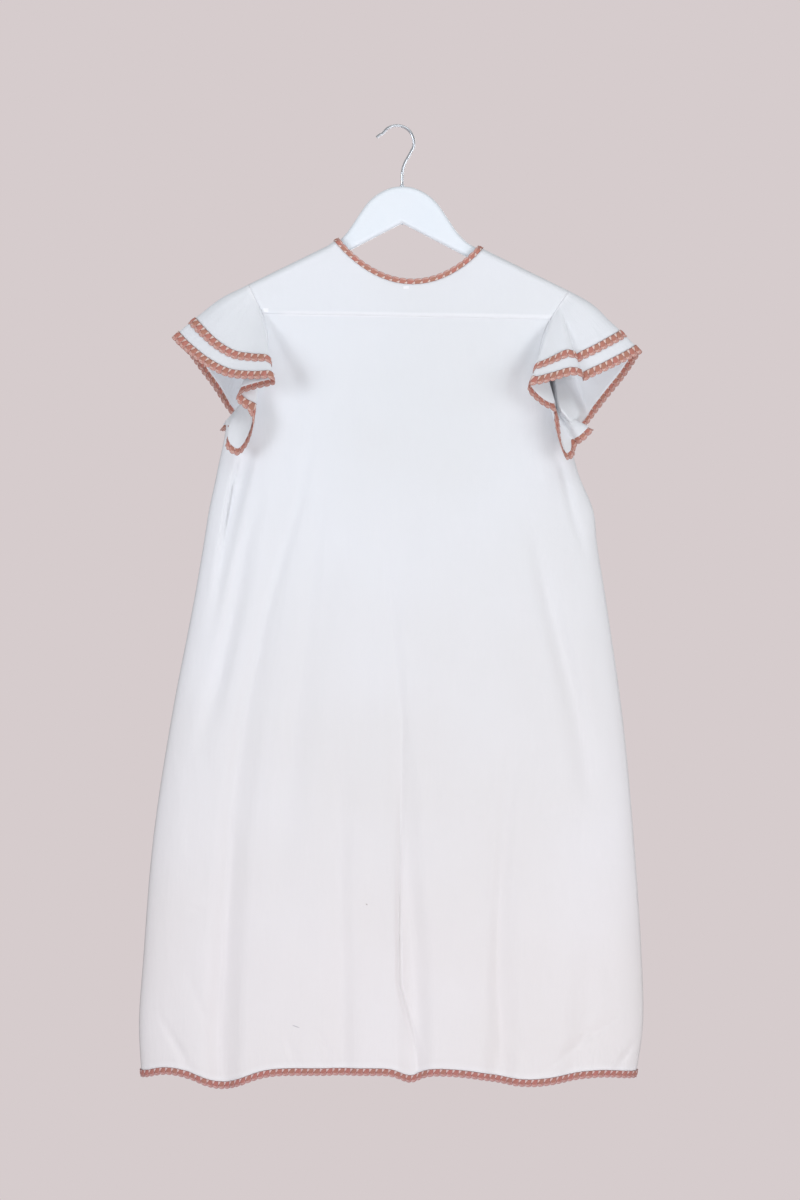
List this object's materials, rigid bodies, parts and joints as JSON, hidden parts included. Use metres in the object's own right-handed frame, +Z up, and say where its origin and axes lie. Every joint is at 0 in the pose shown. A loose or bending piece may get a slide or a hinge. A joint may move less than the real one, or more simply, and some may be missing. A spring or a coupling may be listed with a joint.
{
  "type": "smock dress on a flat hanger",
  "caption": "Loose A-line smock dress with short flutter sleeves and braid along its edges, hung with its back to the viewer on a flat wooden hanger with a wire hook.",
  "frame": {"origin": "inside top of the hanger's hook, where a rod carries it", "axes": "+Z up, -Y out of the dress's back, which faces the viewer, +X to that viewer's right"},
  "size_m": [0.6051, 0.123, 1.1489],
  "materials": {
    "cotton": "plain off-white woven cotton",
    "braid": "woven terracotta braid with cream and gold threads",
    "white_paint": "white satin paint on wood",
    "steel": "bright plated wire"
  },
  "bodies": {
    "root": {"back_yoke": "cotton", "back_bodice": "cotton", "back_panel": "cotton", "front_bodice": "cotton", "front_panel": "cotton", "left_sleeve": "cotton", "right_sleeve": "cotton", "neck_braid": "braid", "hem_braid": "braid", "left_edge_braid": "braid", "left_upper_braid": "braid", "right_edge_braid": "braid", "right_upper_braid": "braid", "hanger_body": "white_paint", "hook": "steel"}
  },
  "joints": []
}
